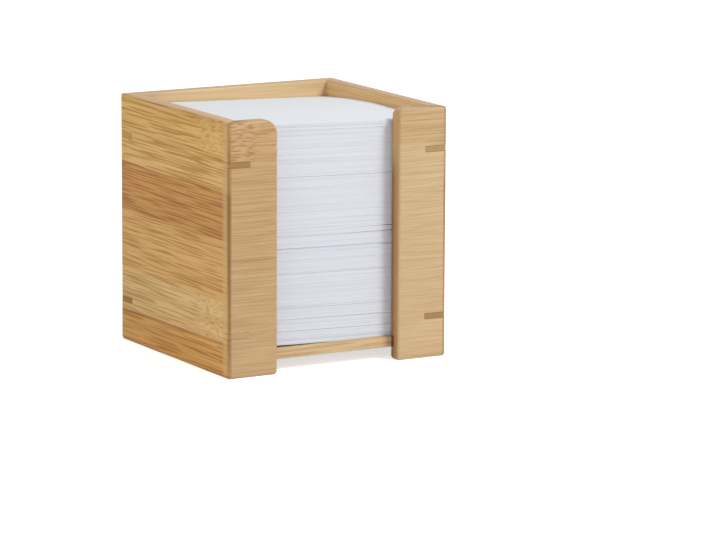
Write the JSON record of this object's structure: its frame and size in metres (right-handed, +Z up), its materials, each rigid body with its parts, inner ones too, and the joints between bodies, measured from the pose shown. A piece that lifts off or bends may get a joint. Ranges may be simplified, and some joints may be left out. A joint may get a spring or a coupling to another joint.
{
  "type": "memo cube",
  "caption": "Open-topped bamboo box with mitred, splined corners and a thumb opening in its front, filled with a stack of loose square note sheets.",
  "frame": {"origin": "on the table under the middle of the box", "axes": "+Z up, the thumb opening faces -Y, +X to the right as seen from the front"},
  "size_m": [0.111, 0.105, 0.1145],
  "materials": {
    "bamboo_face_grain": "satin lacquered bamboo, wide strips laid flat",
    "bamboo_edge_grain": "satin lacquered bamboo, narrow strips on edge",
    "bamboo_spline": "satin lacquered dark bamboo",
    "note_paper": "uncoated white paper"
  },
  "bodies": {
    "holder": {"left_wall": "bamboo_face_grain", "right_wall": "bamboo_face_grain", "back_wall": "bamboo_face_grain", "front_left_post": "bamboo_edge_grain", "front_right_post": "bamboo_edge_grain", "base_board": "bamboo_edge_grain", "front_left_upper_spline": "bamboo_spline", "front_left_lower_spline": "bamboo_spline", "front_right_upper_spline": "bamboo_spline", "front_right_lower_spline": "bamboo_spline", "back_left_upper_spline": "bamboo_spline", "back_left_lower_spline": "bamboo_spline", "back_right_upper_spline": "bamboo_spline", "back_right_lower_spline": "bamboo_spline"},
    "lower_stack": {"sheet_bundle_01": "note_paper", "sheet_bundle_02": "note_paper", "sheet_bundle_03": "note_paper", "sheet_bundle_04": "note_paper", "sheet_bundle_05": "note_paper", "sheet_bundle_06": "note_paper", "sheet_bundle_07": "note_paper", "sheet_bundle_08": "note_paper"},
    "middle_stack": {"sheet_bundle_09": "note_paper", "sheet_bundle_10": "note_paper", "sheet_bundle_11": "note_paper", "sheet_bundle_12": "note_paper"},
    "upper_stack": {"sheet_bundle_13": "note_paper", "sheet_bundle_14": "note_paper"},
    "top_sheets": {"top_sheets": "note_paper"}
  },
  "joints": [
    {"name": "lower_stack_lift", "type": "slide", "parent": "holder", "child": "lower_stack", "axis": [0, 0, 1], "range_m": [0, 0.11]},
    {"name": "middle_stack_lift", "type": "slide", "parent": "lower_stack", "child": "middle_stack", "axis": [0, 0, 1], "range_m": [0, 0.066]},
    {"name": "upper_stack_lift", "type": "slide", "parent": "middle_stack", "child": "upper_stack", "axis": [0, 0, 1], "range_m": [0, 0.034]},
    {"name": "top_sheets_lift", "type": "slide", "parent": "upper_stack", "child": "top_sheets", "axis": [0, 0, 1], "range_m": [0, 0.012]}
  ]
}
